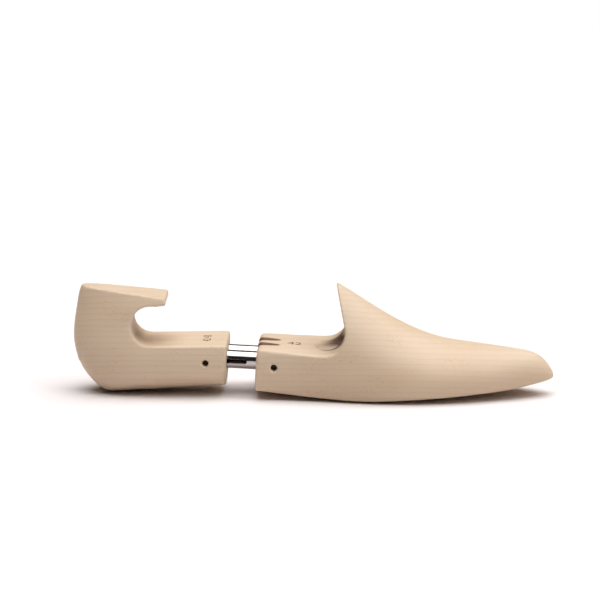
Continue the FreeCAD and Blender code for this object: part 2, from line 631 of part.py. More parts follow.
def make_pin(label, side, station, face):
    """A cross pin: a head in the wood and a thinner tip through the tube's wall."""
    body = new_body(label)
    inner = "(sizes.tube_spacing / 2 + sizes.tube_diameter / 2 + sizes.pin_shoulder)"
    head = new_sketch(body, label + "_head_circle", "XZ_Plane", (0, 0, f"{-side} * {inner}"))
    add_circle(head, "0", "0", "sizes.pin_diameter / 2")
    pad(body, head, label + "_head", f"{face} - sizes.pin_recess - {inner}").Reversed = side > 0
    tip = new_sketch(body, label + "_tip_circle", "XZ_Plane", (0, 0, f"{-side} * sizes.pin_reach"))
    add_circle(tip, "0", "0", "sizes.pin_tip_diameter / 2")
    pad(body, tip, label + "_tip", f"{inner} - sizes.pin_reach").Reversed = side > 0
    place(body, station)


def make_spring(name, side):
    """A compression spring between the bore's blind end and the tube's end plug."""
    body = new_body(f"spring_{name}")
    wire = new_sketch(body, f"{name}_wire", "XZ_Plane")
    middle = "(sizes.spring_diameter - sizes.spring_wire) / 2"
    add_circle(wire, "sizes.spring_wire / 2", middle, "sizes.spring_wire / 2")
    coil = body.newObject("PartDesign::AdditiveHelix", f"{name}_coil")
    coil.Profile = wire
    coil.ReferenceAxis = (wire, ["H_Axis"])
    coil.Mode = 2
    coil.setExpression("Height", "sizes.spring_length - sizes.spring_wire")
    coil.setExpression("Turns", "sizes.spring_coils")
    doc.recompute()
    behind = "(sizes.seat_flange + sizes.spring_length) * cos(sizes.tube_pitch)"
    place(body, f"({TUBE_BACK} - {behind})", f"{side} * sizes.tube_spacing / 2")


def make_seat(name, side):
    """A turned plug that closes a tube's rear end and centres the spring."""
    body = new_body(f"spring_seat_{name}")
    half = new_sketch(body, f"{name}_seat_half", "XZ_Plane")
    nose = "(sizes.spring_diameter / 2 - sizes.spring_wire - sizes.seat_clearance)"
    flange = "(sizes.tube_diameter / 2 - sizes.seat_clearance)"
    plug = "(sizes.tube_diameter / 2 - sizes.tube_wall - sizes.seat_clearance)"
    corners = [
        ("-(sizes.seat_flange + sizes.seat_nose)", "0"),
        ("sizes.seat_plug", "0"),
        ("sizes.seat_plug", plug),
        ("0", plug),
        ("0", flange),
        ("-sizes.seat_flange", flange),
        ("-sizes.seat_flange", nose),
        ("-(sizes.seat_flange + sizes.seat_nose)", nose),
    ]
    add_outline(half, corners)
    turned = body.newObject("PartDesign::Revolution", f"{name}_seat")
    turned.Profile = half
    turned.ReferenceAxis = (half, ["H_Axis"])
    turned.Angle = 360.0
    doc.recompute()
    place(body, TUBE_BACK, f"{side} * sizes.tube_spacing / 2")


def check_document():
    """Stop if any object failed or any sub-part is empty or broken."""
    for item in doc.Objects:
        if "Invalid" in item.State or "Error" in item.State:
            raise RuntimeError(f"{item.Name} is {item.State}")
    for body in sub_parts:
        if body.Shape.isNull() or not body.Shape.isValid():
            raise RuntimeError(f"{body.Label} has no valid shape")


fill_sheet()
place(make_forepart(), "0", pitched=False)
place(make_heel_block(), "0", pitched=False)
for side_name, side_sign in SIDES.items():
    make_tube(side_name, side_sign)
    make_seat(side_name, side_sign)
    make_spring(side_name, side_sign)
    make_pin(f"heel_pin_{side_name}", side_sign, HEEL_PIN, "sizes.girth_narrow")
    make_pin(f"forepart_pin_{side_name}", side_sign, FOREPART_PIN, NECK_SIDE)
doc.recompute()
check_document()
os.makedirs(PARTS_FOLDER, exist_ok=True)
for sub_part in sub_parts:
    sub_part.Shape.exportStep(os.path.join(PARTS_FOLDER, sub_part.Label + ".step"))
    box = sub_part.Shape.BoundBox
    print(f"{sub_part.Label}: {sub_part.Shape.Volume:.1f} mm3, {box}")
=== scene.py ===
"""Sprung twin-tube shoe tree in pale beech: finish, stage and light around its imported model."""
import json
import math

import bmesh
import bpy
import numpy as np
from mathutils import Matrix, Vector


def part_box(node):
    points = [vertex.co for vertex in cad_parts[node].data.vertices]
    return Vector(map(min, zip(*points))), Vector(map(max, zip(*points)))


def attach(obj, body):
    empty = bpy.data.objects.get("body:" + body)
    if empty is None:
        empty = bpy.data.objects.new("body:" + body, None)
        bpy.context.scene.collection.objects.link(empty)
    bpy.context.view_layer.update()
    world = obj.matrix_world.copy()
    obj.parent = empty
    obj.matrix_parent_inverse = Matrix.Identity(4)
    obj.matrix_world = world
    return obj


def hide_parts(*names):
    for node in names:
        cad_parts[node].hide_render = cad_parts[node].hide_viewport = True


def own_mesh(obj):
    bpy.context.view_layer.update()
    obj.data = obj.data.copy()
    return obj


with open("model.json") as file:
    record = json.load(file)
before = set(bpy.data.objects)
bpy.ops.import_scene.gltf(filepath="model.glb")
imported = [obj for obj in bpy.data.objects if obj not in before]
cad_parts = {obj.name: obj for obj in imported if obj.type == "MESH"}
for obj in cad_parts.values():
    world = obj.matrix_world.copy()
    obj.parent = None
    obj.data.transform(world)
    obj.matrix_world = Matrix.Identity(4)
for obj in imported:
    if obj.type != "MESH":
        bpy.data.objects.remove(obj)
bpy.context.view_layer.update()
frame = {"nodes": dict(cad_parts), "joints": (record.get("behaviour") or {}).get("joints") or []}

bl_info = {
    "name": "Shoe Tree",
    "version": (1, 0, 0),
    "blender": (4, 5, 0),
    "location": "3D View > Sidebar > Shoe Tree",
    "description": "Finishes a sprung twin-tube shoe tree and sets it on a pale stage",
    "category": "Object",
}

HEEL = "heel_body"
FOREPART = "forepart_body"
JOINT = frame["joints"][0]
SLIDE = np.array(JOINT["axis"])
MM = 0.001
NEAR, FAR = -1, 1


def middle(node):
    """The middle of a node's box."""
    low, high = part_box(node)
    return (np.array(low) + np.array(high)) / 2


# Stations of the two end faces, from the cross pins beside them, and the tree's middle plane.
HEEL_PIN_SETBACK = 12.6 * MM
FOREPART_PIN_SETBACK = 11.3 * MM
HEEL_FACE = middle("heel_pin_near")[0] + HEEL_PIN_SETBACK
FOREPART_FACE = middle("forepart_pin_near")[0] - FOREPART_PIN_SETBACK
MIDDLE = (middle("tube_near")[1] + middle("tube_far")[1]) / 2
TUBE_RADIUS = (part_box("tube_near")[1][1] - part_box("tube_near")[0][1]) / 2

# The forepart's neck, and the gouge that cut its two vents.
NECK_HEIGHT = 31.8 * MM
NECK_FALL = math.radians(3.9)
NECK_CHAMFER = 2.3 * MM
VENT_RADIUS = 4.6 * MM
VENT_DEPTH = 1.5 * MM
VENT_LENGTH = 10 * MM
VENT_OFFSET = 6.5 * MM

# Where the vents' scorching ends: its last full station, the station where it is gone, and its floor.
VENT_BURN_END, VENT_BURN_GONE = 13 * MM, 15 * MM
VENT_BURN_FLOOR, VENT_BURN_FULL = 6 * MM, 5 * MM
VENT_RIM_GONE, VENT_RIM_FULL = 1.0 * MM, 0.6 * MM

# The arcs of painted shade each side of the thumb hollow, in the scorched colour: distance from the middle
# plane at a base height, how far they move outward for each metre of rise, and their half-widths, soft and
# full.
SHADE_ARC_OFFSET = 10.5 * MM
SHADE_ARC_BASE = 29 * MM
SHADE_ARC_SPREAD = 1.2
SHADE_ARC_FADE, SHADE_ARC_CORE = 5 * MM, 2 * MM

# How many sanding passes each stretch of wood gets, and how far wood is spared where it is scorched or
# carries painted shade.
NECK_PASSES = 12
HEEL_NECK_PASSES = 8
TREAD_PASSES = 34
ALL_OVER_PASSES = 4
SCORCH_AND_SHADE_SPARED = 0.85

# The heel block's neck behind the front face, and the room its bores leave round the tubes.
HEEL_NECK_HEIGHT = 33.43 * MM
HEEL_NECK_RISE = math.radians(1.5)
BORE_ROOM = 0.3 * MM

# The branded digits: half their thickness, the lift of their middle, their heights and stations.
DIGIT_HALF_THICKNESS = 0.03 * MM
DIGIT_LIFT = 0.04 * MM
HEEL_DIGIT_HEIGHT = 7.2 * MM
HEEL_DIGIT_SETBACK = 12.5 * MM
NECK_DIGIT_HEIGHT = 9 * MM
NECK_DIGIT_SETBACK = 23 * MM

# The compression springs.
SPRING_WIRE_RADIUS = 0.55 * MM
SPRING_COIL_RADIUS = 4.15 * MM
SPRING_TURNS = 9
SPRING_END_ROOM = 0.5 * MM
SPRING_END_CLOSING = 0.55
SPRING_STATIONS, SPRING_SIDES = 540, 10

# The soft light's faded edge, as the cosine of the angle from its middle, and the floor's reach in metres.
SOFTBOX_RIM, SOFTBOX_CORE = 0.75, 0.85
FLOOR_REACH = 12.0

# The camera: how far the point it looks at lies right of and above the origin in its view, and its sensor.
AIM_RIGHT, AIM_UP = -0.0083, 0.0561
SENSOR_WIDTH = 36.0


# ---------------------------------------------------------------- node helpers

class Nodes:
    """A small builder for one material's node tree."""

    def __init__(self, name):
        self.material = bpy.data.materials.new(name)
        self.material.use_nodes = True
        self.tree = self.material.node_tree
        self.shader = self.tree.nodes["Principled BSDF"]

    def add(self, kind, inputs=None, **values):
        """A node of a kind, with its settings and the values or links of its inputs."""
        node = self.tree.nodes.new(kind)
        for key, value in values.items():
            setattr(node, key, value)
        for key, value in (inputs or {}).items():
            self.feed(node.inputs[key], value)
        return node

    def feed(self, socket, value):
        """Link an output to a socket, or set the socket's own value."""
        if isinstance(value, bpy.types.NodeSocket):
            self.tree.links.new(value, socket)
        else:
            socket.default_value = value

    def coordinates(self, scale, turn=(0, 0, 0), shift=(0, 0, 0)):
        """Object coordinates, scaled and turned."""
        source = self.add("ShaderNodeTexCoord").outputs["Object"]
        inputs = {"Vector": source, "Scale": scale, "Rotation": turn, "Location": shift}
        return self.add("ShaderNodeMapping", inputs).outputs[0]

    def noise(self, vector, detail=2.0, roughness=0.5):
        """Noise over a vector, from 0 to 1."""
        inputs = {"Vector": vector, "Scale": 1.0, "Detail": detail, "Roughness": roughness}
        return self.add("ShaderNodeTexNoise", inputs).outputs["Fac"]

    def remap(self, value, low, high, to_low=0.0, to_high=1.0):
        """A value stretched from one range to another, and held inside it."""
        inputs = {0: value, 1: low, 2: high, 3: to_low, 4: to_high}
        return self.add("ShaderNodeMapRange", inputs).outputs[0]

    def maths(self, operation, first, second):
        """One arithmetic step."""
        return self.add("ShaderNodeMath", {0: first, 1: second}, operation=operation).outputs[0]

    def blend(self, factor, first, second):
        """A mix of two colours."""
        node = self.add("ShaderNodeMix", data_type="RGBA")
        self.feed(node.inputs[0], factor)
        self.feed(node.inputs[6], first)
        self.feed(node.inputs[7], second)
        return node.outputs[2]

    def bump(self, height, distance, strength):
        """A bump whose height from 0 to 1 stands for a distance in metres."""
        inputs = {"Height": height, "Distance": distance, "Strength": strength}
        return self.add("ShaderNodeBump", inputs).outputs[0]

    def finish(self, **values):
        """Set the shader's own sockets and return the material."""
        for key, value in values.items():
            self.feed(self.shader.inputs[key.replace("_", " ")], value)
        return self.material


def opaque(colour):
    """A colour property as four numbers."""
    return (*colour[:3], 1.0)


# ---------------------------------------------------------------- materials

def beech(name, shift, settings):
    """Fine-sanded beech: growth bands, soft mottling, short ray flecks and pores along the grain.

    The mesh's point attribute, from 0 to 1, browns the wood where a cutter scorched the vents, and paints
    shade as two dark arcs in the thumb hollow.
    """
    nodes = Nodes(name)
    along = (0, 0.02, 0.03)
    drift = nodes.noise(nodes.coordinates((9, 26, 26), shift=shift), 3.0, 0.55)
    bent = nodes.coordinates((5, 60, 95), turn=(0.5, 0.03, 0.05), shift=shift)
    bands = nodes.add("ShaderNodeTexWave", {
        "Vector": bent, "Scale": 1.0, "Distortion": 3.2, "Detail": 2.0,
        "Detail Scale": 0.9, "Detail Roughness": 0.5,
    }, wave_type="BANDS", bands_direction="Z", wave_profile="SAW").outputs["Fac"]
    streaks = nodes.noise(nodes.coordinates((34, 1100, 1100), turn=along, shift=shift), 3.0, 0.6)
    specks = nodes.noise(nodes.coordinates((420, 2100, 2100), turn=along, shift=shift), 1.0, 0.5)
    patches = nodes.noise(nodes.coordinates((40, 110, 110), shift=shift), 2.0, 0.5)
    colour = nodes.blend(nodes.remap(drift, 0.35, 0.7), opaque(settings.light), opaque(settings.warm))
    colour = nodes.blend(nodes.remap(bands, 0.6, 1.0, 0.0, 0.24), colour, opaque(settings.line))
    colour = nodes.blend(nodes.remap(streaks, 0.5, 0.75, 0.0, 0.11), colour, opaque(settings.line))
    flecked = nodes.maths("MULTIPLY", nodes.remap(specks, 0.6, 0.72, 0.0, 0.7),
                          nodes.remap(patches, 0.45, 0.7))
    colour = nodes.blend(flecked, colour, opaque(settings.fleck))
    # Painted shade: the point attribute darkens two arcs in the thumb hollow as well as the scorched vents.
    scorch_and_shade = nodes.add("ShaderNodeAttribute", attribute_name="scorch_and_shade").outputs["Fac"]
    uneven = nodes.maths("MULTIPLY", scorch_and_shade, nodes.remap(streaks, 0.3, 0.75, 0.85, 1.0))
    colour = nodes.blend(uneven, colour, opaque(settings.burnt_and_painted_shade))
    height = nodes.maths("ADD", nodes.maths("MULTIPLY", streaks, 0.5), specks)
    bump = nodes.bump(height, 0.00003, 0.3)
    rough = nodes.remap(streaks, 0.3, 0.7, 0.44, 0.58)
    return nodes.finish(Base_Color=colour, Roughness=rough, Normal=bump, Specular_IOR_Level=0.35)


def burnt_ink(settings):
    """Branded wood: dark brown, a little paler where the iron pressed less."""
    nodes = Nodes("branded_wood")
    uneven = nodes.noise(nodes.coordinates((700, 700, 700)), 3.0, 0.6)
    colour = nodes.blend(nodes.remap(uneven, 0.35, 0.7), opaque(settings.burnt_and_painted_shade), opaque(settings.brand))
    return nodes.finish(Base_Color=colour, Roughness=0.7, Normal=nodes.bump(uneven, 0.00003, 0.4))


def plated_tube(settings):
    """Bright nickel plate with faint drawing lines along the tube."""
    nodes = Nodes("nickel_plate")
    lines = nodes.noise(nodes.coordinates((6, 4200, 4200)), 1.0, 0.5)
    haze = nodes.noise(nodes.coordinates((60, 60, 60)), 3.0, 0.6)
    rough = nodes.remap(haze, 0.3, 0.7, 0.07, 0.16)
    bump = nodes.bump(lines, 0.000001, 0.1)
    return nodes.finish(Base_Color=opaque(settings.plate), Metallic=1.0, Roughness=rough, Normal=bump)


def drawn_steel(name, colour, roughness):
    """Plain steel with fine scratches."""
    nodes = Nodes(name)
    scratches = nodes.noise(nodes.coordinates((900, 900, 900)), 3.0, 0.6)
    rough = nodes.remap(scratches, 0.3, 0.7, roughness - 0.08, roughness + 0.1)
    bump = nodes.bump(scratches, 0.00001, 0.4)
    return nodes.finish(Base_Color=opaque(colour), Metallic=1.0, Roughness=rough, Normal=bump)


def nylon(settings):
    """Natural nylon with faint turning marks."""
    nodes = Nodes("turned_nylon")
    marks = nodes.noise(nodes.coordinates((2500, 60, 60)), 2.0, 0.5)
    colour = nodes.blend(marks, opaque(settings.nylon), (0.62, 0.6, 0.54, 1.0))
    return nodes.finish(Base_Color=colour, Roughness=0.45, Normal=nodes.bump(marks, 0.00002, 0.4))


# ---------------------------------------------------------------- settings

def colour_property(name, default, description):
    """A colour with its default."""
    return bpy.props.FloatVectorProperty(
        name=name, description=description, default=default, subtype="COLOR", size=3, min=0.0, max=1.0)


def length_property(name, default, description):
    """A length in metres with its default."""
    return bpy.props.FloatProperty(
        name=name, description=description, default=default, min=0.0, unit="LENGTH", precision=5)


class ShoeTreeFinish(bpy.types.PropertyGroup):
    """Colours and small sizes of the tree's finish."""
    light: colour_property("Beech", (0.66, 0.52, 0.385), "Palest colour of the wood")
    warm: colour_property("Beech, warm", (0.62, 0.46, 0.32), "Warmer drifts in the wood")
    line: colour_property("Growth lines", (0.5, 0.35, 0.22), "Lines between the years' growth")
    fleck: colour_property("Flecks", (0.5, 0.26, 0.1), "Short ray flecks")
    # Scorched brown for the brand and the vents, and also the colour of the painted shade on the thumb
    # hollow's arcs.
    burnt_and_painted_shade: colour_property("Burnt wood", (0.1, 0.036, 0.01), "Where a cutter or an iron scorched the wood")
    brand: colour_property("Paler brand", (0.24, 0.12, 0.05), "Where the branding iron pressed less")
    # Painted shade: the pins' near-black colour stands in for the shade deep in their holes.
    pin: colour_property("Pins", (0.05, 0.04, 0.035), "Dark steel of the cross pins")
    spring: colour_property("Springs", (0.3, 0.3, 0.31), "Steel of the springs")
    plate: colour_property("Nickel", (0.46, 0.415, 0.41), "Plating of the tubes")
    nylon: colour_property("Nylon", (0.78, 0.75, 0.66), "End plugs of the tubes")
    cell: length_property("Wood mesh", 0.8 * MM, "Size of the faces on the wooden blocks")


class ShoeTreeStage(bpy.types.PropertyGroup):
    """Floor, lights and camera."""
    floor: colour_property("Floor", (0.82, 0.775, 0.77), "Colour of the floor")
    softbox: bpy.props.FloatProperty(
        name="Softbox", description="Brightness of the large soft light overhead", default=3.8)
    softbox_aim: bpy.props.FloatVectorProperty(
        name="Softbox Aim", description="Direction of the soft light's middle",
        subtype="XYZ", default=(0.14, 0.08, 1.0))
    gloom: bpy.props.FloatProperty(
        name="Gloom", description="Brightness of the room around the soft light", default=0.03)
    fill: bpy.props.FloatProperty(
        name="Fill", description="Power of the soft light at the toe's side", default=14.0)
    distance: length_property("Camera distance", 3.0, "From the camera to the point it looks at")
    azimuth: bpy.props.FloatProperty(
        name="Azimuth", description="Turn of the camera round the tree",
        default=math.radians(2.5), unit="ROTATION")
    elevation: bpy.props.FloatProperty(
        name="Elevation", description="Height of the camera as an angle",
        default=math.radians(13.0), unit="ROTATION")
    lens: bpy.props.FloatProperty(
        name="Lens", description="Focal length of the camera", default=291.0, min=1.0, unit="CAMERA")


# ---------------------------------------------------------------- pieces

def even_copy(node, cell):
    """A CAD block's own shape as a closed mesh of even faces."""
    source = frame["nodes"][node]
    shape = bmesh.new()
    shape.from_mesh(source.data)
    bmesh.ops.remove_doubles(shape, verts=shape.verts, dist=1e-6)
    mesh = bpy.data.meshes.new(node + "_wood")
    shape.to_mesh(mesh)
    shape.free()
    piece = bpy.data.objects.new(node + "_wood", mesh)
    bpy.context.scene.collection.objects.link(piece)
    even = piece.modifiers.new("even", "REMESH")
    even.mode = "VOXEL"
    even.voxel_size = cell
    even.use_smooth_shade = True
    apply_modifiers(piece)
    return piece


def points_of(piece):
    """A mesh's points as rows."""
    points = np.empty(len(piece.data.vertices) * 3)
    piece.data.vertices.foreach_get("co", points)
    return points.reshape(-1, 3)


def ease(piece, share, passes):
    """Sand a piece: in each pass a point moves half its share of the way to its neighbours' mean."""
    points = points_of(piece)
    edges = np.empty(len(piece.data.edges) * 2, int)
    piece.data.edges.foreach_get("vertices", edges)
    start, end = edges.reshape(-1, 2).T
    joined, across = np.concatenate((start, end)), np.concatenate((end, start))
    count = np.bincount(joined, minlength=len(points))
    for _ in range(passes):
        sums = [np.bincount(joined, points[across, axis], len(points)) for axis in range(3)]
        points += (np.stack(sums, 1) / count[:, None] - points) * (0.5 * share)[:, None]
    piece.data.vertices.foreach_set("co", points.ravel())
    piece.data.update()


def step(value, low, high):
    """0 below low, 1 above high and a smooth S between them; high may be the lower one."""
    share = np.clip((value - low) / (high - low), 0, 1)
    return share * share * (3 - 2 * share)


def from_line(points, place, direction):
    """Distance of each point from a line through a place."""
    direction = np.array(direction) / np.linalg.norm(direction)
    offset = points - np.array(place)
    along = offset @ direction
    return np.linalg.norm(offset - along[:, None] * direction, axis=1)


def clear_of_holes(points, pins):
    """1 away from the tube bores and pin holes, 0 beside them."""
    clear = np.ones(len(points))
    for side in ("near", "far"):
        bore = from_line(points, middle(f"tube_{side}"), SLIDE)
        clear *= step(bore, TUBE_RADIUS + 0.5 * MM, TUBE_RADIUS + 2 * MM)
        hole = from_line(points, middle(f"{pins}_{side}"), (0, 1, 0))
        clear *= step(hole, 2.6 * MM, 4.5 * MM)
    return clear


def gouge_lines():
    """Places and directions of the cutter's four passes: two in the neck's top, two down its chamfer."""
    stand_off = VENT_RADIUS - VENT_DEPTH
    climb = math.asin(VENT_DEPTH / VENT_LENGTH) - NECK_FALL
    slant = math.sqrt(0.5)
    passes = []
    for side in (NEAR, FAR):
        across = MIDDLE + side * VENT_OFFSET
        high = NECK_HEIGHT + stand_off
        passes.append(((FOREPART_FACE, across, high), (math.cos(climb), 0, math.sin(climb))))
        low = NECK_HEIGHT - NECK_CHAMFER + stand_off * slant
        passes.append(((FOREPART_FACE - stand_off * slant, across, low), (slant, 0, slant)))
    return passes


def scorch_and_painted_shade(points):
    """How dark the forepart is marked: full in the two scorched vents, and soft painted shade on an arc each
    side of the thumb hollow.
    """
    on_neck = step(points[:, 0], FOREPART_FACE + VENT_BURN_GONE, FOREPART_FACE + VENT_BURN_END)
    on_neck *= step(points[:, 2], NECK_HEIGHT - VENT_BURN_FLOOR, NECK_HEIGHT - VENT_BURN_FULL)
    vents = np.zeros(len(points))
    for place, direction in gouge_lines():
        from_axis = from_line(points, place, direction)
        vents = np.maximum(vents, step(from_axis, VENT_RADIUS + VENT_RIM_GONE, VENT_RADIUS + VENT_RIM_FULL))
    across = np.abs(points[:, 1] - MIDDLE)
    height = points[:, 2]
    # Painted shade: a soft dark arc on each wall of the thumb hollow, in the scorched colour.
    painted_shade_arc = step(np.abs(across - SHADE_ARC_OFFSET - SHADE_ARC_SPREAD * (height - SHADE_ARC_BASE)), SHADE_ARC_FADE, SHADE_ARC_CORE)
    painted_shade_arc *= step(points[:, 0], FOREPART_FACE + 37 * MM, FOREPART_FACE + 48 * MM)
    painted_shade_arc *= step(points[:, 0], FOREPART_FACE + 60 * MM, FOREPART_FACE + 56 * MM)
    painted_shade_arc *= step(height, 25.5 * MM, 28 * MM) * step(height, 39 * MM, 34 * MM)
    return np.clip(vents * on_neck + painted_shade_arc, 0, 1)


def clear_bores(piece):
    """Move points near the tubes' lines out to the bore's radius, clear of the tubes that slide in it.

    The lines have no ends, so this also moves a ring of points where each comes out of the heel's back.
    """
    points = points_of(piece)
    clear = TUBE_RADIUS + BORE_ROOM
    for name in ("tube_near", "tube_far"):
        offset = points - np.array(middle(name))
        spokes = offset - np.outer(offset @ SLIDE, SLIDE)
        length = np.linalg.norm(spokes, axis=1)
        tight = (length > TUBE_RADIUS - 1 * MM) & (length < clear)
        points[tight] += spokes[tight] * (clear / length[tight] - 1)[:, None]
    piece.data.vertices.foreach_set("co", points.ravel())


def set_scorch_and_shade(piece, scorch_and_shade):
    """Keep a number from 0 to 1 for each point, which the beech reads: the vents' scorching and the painted
    shade in the thumb hollow.
    """
    piece.data.attributes.new("scorch_and_shade", "FLOAT", "POINT").data.foreach_set("value", scorch_and_shade)


def sand_forepart(piece):
    """Ease all edges a little, and the neck's long and rear edges more, but not the vents or holes."""
    points = points_of(piece)
    # The mask holds the vents' scorching and the painted shade of the thumb hollow.
    scorch_and_shade = scorch_and_painted_shade(points)
    across = np.abs(points[:, 1] - MIDDLE)
    neck = step(points[:, 0], FOREPART_FACE + 60 * MM, FOREPART_FACE + 45 * MM)
    neck *= step(points[:, 2], 45 * MM, 38 * MM) * step(points[:, 2], 12 * MM, 18 * MM)
    neck *= step(across, 13 * MM, 17 * MM) * clear_of_holes(points, "forepart_pin")
    set_scorch_and_shade(piece, scorch_and_shade)
    ease(piece, neck, NECK_PASSES)
    ease(piece, 1 - SCORCH_AND_SHADE_SPARED * scorch_and_shade, ALL_OVER_PASSES)


def sand_heel(piece):
    """Ease all edges a little, the edges round the neck and under the heel more, but not the holes."""
    points = points_of(piece)
    neck = step(points[:, 0], HEEL_FACE - 34 * MM, HEEL_FACE - 22 * MM)
    neck *= clear_of_holes(points, "heel_pin")
    set_scorch_and_shade(piece, np.zeros(len(points)))
    ease(piece, neck, HEEL_NECK_PASSES)
    tread = step(points[:, 2], 14 * MM, 8 * MM)
    tread *= step(points[:, 0], HEEL_FACE - 45 * MM, HEEL_FACE - 55 * MM)
    ease(piece, tread, TREAD_PASSES)
    ease(piece, np.ones(len(points)), ALL_OVER_PASSES)
    clear_bores(piece)


def branded_number(name, text, height, place, turn, tilt, body):
    """Plain digits branded into the wood, as a thin flat piece just proud of the surface."""
    curve = bpy.data.curves.new(name, "FONT")
    curve.body = text
    curve.size = height
    curve.align_x = "CENTER"
    curve.align_y = "CENTER"
    curve.extrude = DIGIT_HALF_THICKNESS
    letters = bpy.data.objects.new(name, curve)
    bpy.context.scene.collection.objects.link(letters)
    graph = bpy.context.evaluated_depsgraph_get()
    mesh = bpy.data.meshes.new_from_object(letters.evaluated_get(graph))
    bpy.data.objects.remove(letters)
    settled = Matrix.Translation(place) @ Matrix.Rotation(tilt, 4, "Y") @ Matrix.Rotation(turn, 4, "Z")
    mesh.transform(settled)
    piece = bpy.data.objects.new(name, mesh)
    bpy.context.scene.collection.objects.link(piece)
    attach(piece, body)
    return piece


def coil_spring(name, side):
    """A compression spring as a tube of wire carried along a helix about the tube's axis.

    A point on the helix is the axis point a share of the way along, plus the coil's radius at
    an angle that grows with that share; the end turns lie closed, because the share moves along
    the axis slower there.  The wire's circle lies across the helix's own direction.
    """
    low, high = (np.array(corner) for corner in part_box(name))
    centre = (low + high) / 2
    reach = (high[0] - low[0]) / SLIDE[0] / 2 - SPRING_WIRE_RADIUS - SPRING_END_ROOM
    share = np.linspace(0, 1, SPRING_STATIONS)
    closed = share - SPRING_END_CLOSING * np.sin(4 * np.pi * share) / (4 * np.pi)
    angle = 2 * np.pi * SPRING_TURNS * share
    across = np.array((0.0, 1.0, 0.0))
    upward = np.cross(SLIDE, across)
    outward = np.cos(angle)[:, None] * upward + np.sin(angle)[:, None] * across
    path = centre + (2 * closed - 1)[:, None] * reach * SLIDE + SPRING_COIL_RADIUS * outward
    forward = np.gradient(path, axis=0)
    forward /= np.linalg.norm(forward, axis=1)[:, None]
    beside = np.cross(forward, outward)
    ring = np.linspace(0, 2 * np.pi, SPRING_SIDES, endpoint=False)
    grid = (path[:, None] + SPRING_WIRE_RADIUS * np.cos(ring)[None, :, None] * outward[:, None]
            + SPRING_WIRE_RADIUS * np.sin(ring)[None, :, None] * beside[:, None])
    piece = tube_mesh(f"coil_{side}", grid)
    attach(piece, HEEL)
    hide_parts(name)
    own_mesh(piece)
    return piece


def tube_mesh(name, grid):
    """A closed tube through rows of rings, with a flat cap at each end."""
    rows, columns = grid.shape[:2]
    index = np.arange(rows * columns).reshape(rows, columns)
    following = np.roll(index, -1, axis=1)
    sides = np.stack((index[:-1], following[:-1], following[1:], index[1:]), -1).reshape(-1, 4)
    faces = sides.tolist() + [index[0][::-1].tolist(), index[-1].tolist()]
    mesh = bpy.data.meshes.new(name)
    mesh.from_pydata(grid.reshape(-1, 3).tolist(), [], faces)
    shape = bmesh.new()
    shape.from_mesh(mesh)
    bmesh.ops.recalc_face_normals(shape, faces=shape.faces)
    shape.to_mesh(mesh)
    shape.free()
    mesh.shade_smooth()
    piece = bpy.data.objects.new(name, mesh)
    bpy.context.scene.collection.objects.link(piece)
    return piece


def apply_modifiers(piece):
    """Keep a piece's finished mesh and drop its modifiers."""
    graph = bpy.context.evaluated_depsgraph_get()
    finished = bpy.data.meshes.new_from_object(piece.evaluated_get(graph))
    piece.modifiers.clear()
    piece.data = finished


class SHOETREE_OT_blocks(bpy.types.Operator):
    """Finish the two beech blocks"""
    bl_idname = "shoetree.blocks"
    bl_label = "Beech Blocks"

    def execute(self, context):
        settings = context.scene.shoe_tree_finish
        blocks = (
            ("forepart", FOREPART, "forepart_beech", (0, 0, 0), sand_forepart),
            ("heel_block", HEEL, "heel_beech", (0.7, 0.3, 0.2), sand_heel),
        )
        for node, body, slot, shift, sand in blocks:
            piece = even_copy(node, settings.cell)
            sand(piece)
            piece.data.materials.clear()
            piece.data.materials.append(beech(slot, shift, settings))
            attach(piece, body)
            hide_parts(node)
        return {"FINISHED"}


class SHOETREE_OT_numbers(bpy.types.Operator):
    """Brand the plain size numbers into both necks"""
    bl_idname = "shoetree.numbers"
    bl_label = "Size Numbers"

    def execute(self, context):
        settings = context.scene.shoe_tree_finish
        ink = burnt_ink(settings)
        heel_top = HEEL_NECK_HEIGHT - HEEL_DIGIT_SETBACK * math.tan(HEEL_NECK_RISE)
        heel_place = (HEEL_FACE - HEEL_DIGIT_SETBACK, MIDDLE, heel_top + DIGIT_LIFT)
        neck_top = NECK_HEIGHT - NECK_DIGIT_SETBACK * math.tan(NECK_FALL)
        neck_place = (FOREPART_FACE + NECK_DIGIT_SETBACK, MIDDLE, neck_top + DIGIT_LIFT)
        on_heel = (HEEL_DIGIT_HEIGHT, heel_place, math.pi / 2, -HEEL_NECK_RISE, HEEL)
        on_neck = (NECK_DIGIT_HEIGHT, neck_place, 0.0, NECK_FALL, FOREPART)
        numbers = (
            ("heel_number", "42 43", on_heel, "heel_beech"),
            ("neck_number", "42", on_neck, "forepart_beech"),
        )
        for name, text, setting, slot in numbers:
            piece = branded_number(name, text, *setting)
            piece.data.materials.append(ink)
        return {"FINISHED"}


class SHOETREE_OT_hardware(bpy.types.Operator):
    """Finish the tubes, pins, springs and end plugs"""
    bl_idname = "shoetree.hardware"
    bl_label = "Tubes, Pins and Springs"

    def execute(self, context):
        settings = context.scene.shoe_tree_finish
        finishes = {
            "tube": plated_tube(settings),
            # Painted shade: the pins are coloured near black for the shade deep in their holes.
            "pin": drawn_steel("pin_steel", settings.pin, 0.55),
            "seat": nylon(settings),
        }
        for node, piece in frame["nodes"].items():
            for word in ("seat", "pin", "tube"):
                if word in node:
                    for place in piece.material_slots:
                        place.material = finishes[word]
                    break
        steel = drawn_steel("spring_steel", settings.spring, 0.35)
        for side in ("near", "far"):
            coil_spring(f"spring_{side}", side).data.materials.append(steel)
        return {"FINISHED"}


